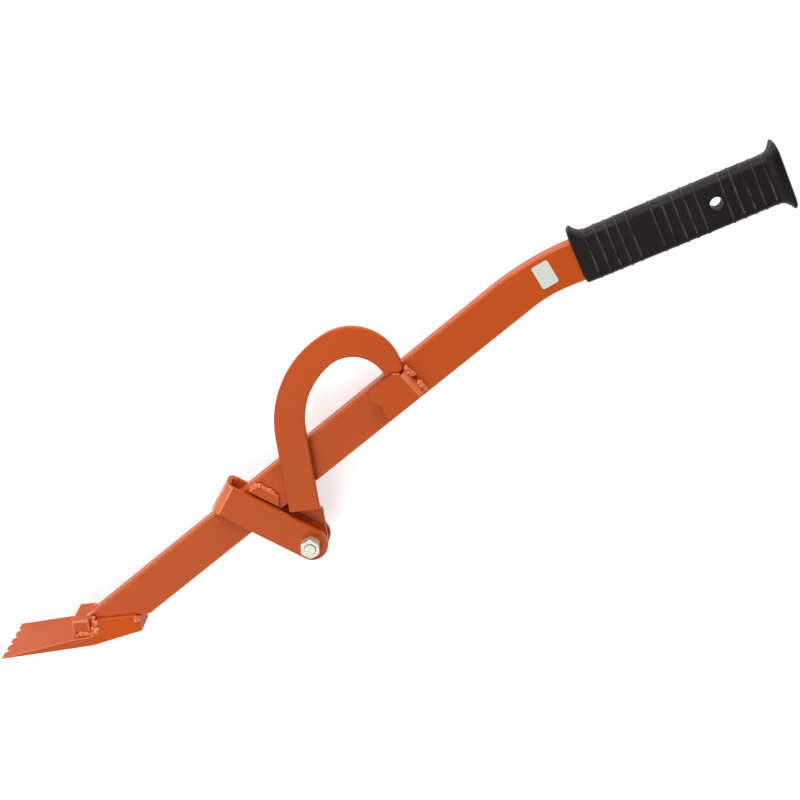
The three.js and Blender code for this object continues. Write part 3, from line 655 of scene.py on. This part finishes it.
def grip_reach(along):
    """How far the sleeve reaches up, down and to each side of the bar's middle line."""
    ridge = max(math.cos(min(abs(along - rib) / rib_width * 2, 1) * math.pi / 2) for rib in ribs)
    swell = belly * math.sin(math.pi * along / grip_length) + rib_height * ridge
    back = grip_length - along
    butt = flared(back, butt_run, butt_lip)
    worn = rounded_off(back, butt_lip)
    front = rounded_off(along, front_round)
    up = grip_height / 2 + swell + butt_rise * butt - worn
    up += collar_rise * flared(along, collar_run, collar_lip) - rounded_off(along, collar_lip)
    down = grip_height / 2 + swell + butt_rise * butt - worn - front
    side = grip_thick / 2 + swell + butt_side_rise * butt - worn - front
    return up, down, side


flare_steps = 6
rib_steps, gap_steps = (-1, -0.6, -0.25, 0.25, 0.6, 1), (0.35, 0.65)
plain_steps = (0.335, 0.36, 0.64, 0.66, 0.68, 0.7)
stations = {0.0, grip_length}
for step in range(flare_steps + 1):
    done = step / flare_steps
    stations.update((collar_lip * done, collar_lip + (collar_run - collar_lip) * done,
                     grip_length - butt_lip * done,
                     grip_length - butt_lip - (butt_run - butt_lip) * done))
for rib in ribs:
    stations.update(rib + share * rib_width / 2 for share in rib_steps)
    stations.update(rib + share * rib_pitch for share in gap_steps)
stations.update(grip_length * share for share in plain_steps)
stations = sorted({round(station, 3) for station in stations})

up, down, side = grip_reach(0)
bpy.ops.object.select_all(action="DESELECT")
bpy.ops.mesh.primitive_cube_add(
    size=1, scale=(stations[1] * MM, (up + down) * MM, 2 * side * MM),
    location=(stations[1] / 2 * MM, (up - down) / 2 * MM, 0))
grip = bpy.context.object
grip.name = "rubber_grip"
bpy.ops.object.transform_apply(location=True, rotation=True, scale=True)
bpy.ops.object.mode_set(mode="EDIT")
bpy.ops.mesh.select_mode(type="EDGE")
sketch = bmesh.from_edit_mesh(grip.data)
for edge in sketch.edges:
    edge.select = abs((edge.verts[0].co - edge.verts[1].co).x) > merge_distance * MM
bmesh.update_edit_mesh(grip.data)
bpy.ops.mesh.bevel(offset=edge_round * MM, segments=10, affect="EDGES")
select_facing(grip, (1, 0, 0))
for last, station in zip(stations, stations[1:]):
    next_up, next_down, next_side = grip_reach(station)
    if last > 0:
        bpy.ops.mesh.extrude_region_move(
            TRANSFORM_OT_translate={"value": ((station - last) * MM, 0, 0)})
    lift = (up - down) / 2
    bpy.ops.transform.resize(
        value=(1, (next_up + next_down) / (up + down), next_side / side),
        center_override=(station * MM, lift * MM, 0))
    bpy.ops.transform.translate(value=(0, ((next_up - next_down) / 2 - lift) * MM, 0))
    up, down, side = next_up, next_down, next_side
bpy.ops.mesh.select_all(action="SELECT")
bpy.ops.mesh.normals_make_consistent(inside=False)
bpy.ops.object.mode_set(mode="OBJECT")

# The hole's liner is narrower than the bore in the bar, and its mouths are eased.
hole_middle = Vector((120, 0.3, 0)) * MM
hole_radius, liner_depth = 5.5, 16.4
mouth_steps = ((1.0, 1.04), (0.8, 1.1), (2.0, 1.1))
bpy.ops.object.select_all(action="DESELECT")
bpy.ops.mesh.primitive_cylinder_add(vertices=48, radius=hole_radius * MM,
                                    depth=liner_depth * MM, location=hole_middle)
drill = bpy.context.object
bpy.ops.object.transform_apply(location=True, rotation=True, scale=True)
bpy.ops.object.mode_set(mode="EDIT")
for out in (1, -1):
    select_facing(drill, (0, 0, out))
    for rise, change in mouth_steps:
        drawn_up(out * rise, change, hole_middle)
bpy.ops.object.mode_set(mode="OBJECT")
cut_with(grip, drill)

# The ribs' crests are painted lighter, a painted highlight, but for their ends along the lower
# edge. The mould's ribs waver a little, more along the sleeve than across it.
crest_share, crest_end = 0.32, -15
waver_size, waver_out, waver_along = 9, 0.3, 1.6
for face in grip.data.polygons:
    on_crest = any(abs(face.center.x / MM - rib) < rib_width * crest_share for rib in ribs)
    if on_crest and face.center.y > crest_end * MM:
        face.material_index = 1
waver = bpy.data.textures.new("rubber_waver", "CLOUDS")
waver.noise_scale = waver_size * MM
waving = {"texture": waver, "texture_coords": "LOCAL", "mid_level": 0.5}
finished(grip, ("DISPLACE", {**waving, "strength": waver_out * MM}),
         ("DISPLACE", {**waving, "strength": waver_along * MM, "direction": "X"}))
grip.rotation_euler = (0, 0, grip_turn)
grip.location = grip_front
only(grip)
bpy.ops.object.transform_apply(location=True, rotation=True, scale=True)
clothed(grip, (rubber, crest_painted_highlight), "lever", angle=50)
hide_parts("handle_grip")

low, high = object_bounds()
